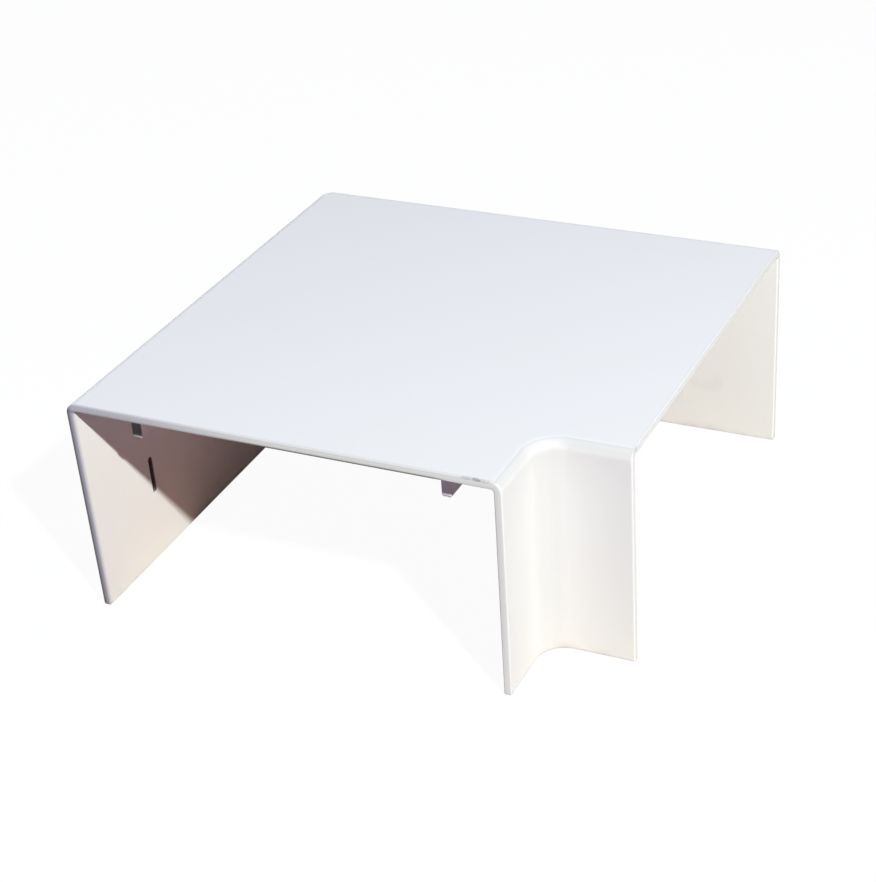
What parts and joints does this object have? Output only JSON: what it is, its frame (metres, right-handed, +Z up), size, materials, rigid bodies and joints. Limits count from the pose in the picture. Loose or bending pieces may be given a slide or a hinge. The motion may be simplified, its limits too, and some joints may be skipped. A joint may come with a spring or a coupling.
{
  "type": "trunking flat angle",
  "caption": "L-shaped moulded cover that joins two runs of rectangular cable trunking at a level right-angle corner, open at both mouths and underneath.",
  "frame": {"origin": "middle of the square footprint, on the plane of the wall rims", "axes": "+Z up from the rims to the flat plate, -Y out of the front mouth, +X out of the right mouth; the inner corner is at +X, -Y"},
  "size_m": [0.1254, 0.1254, 0.053],
  "materials": {
    "white_pvc": "satin white injection-moulded PVC-U"
  },
  "bodies": {
    "root": {"angle_cover": "white_pvc"}
  },
  "joints": []
}
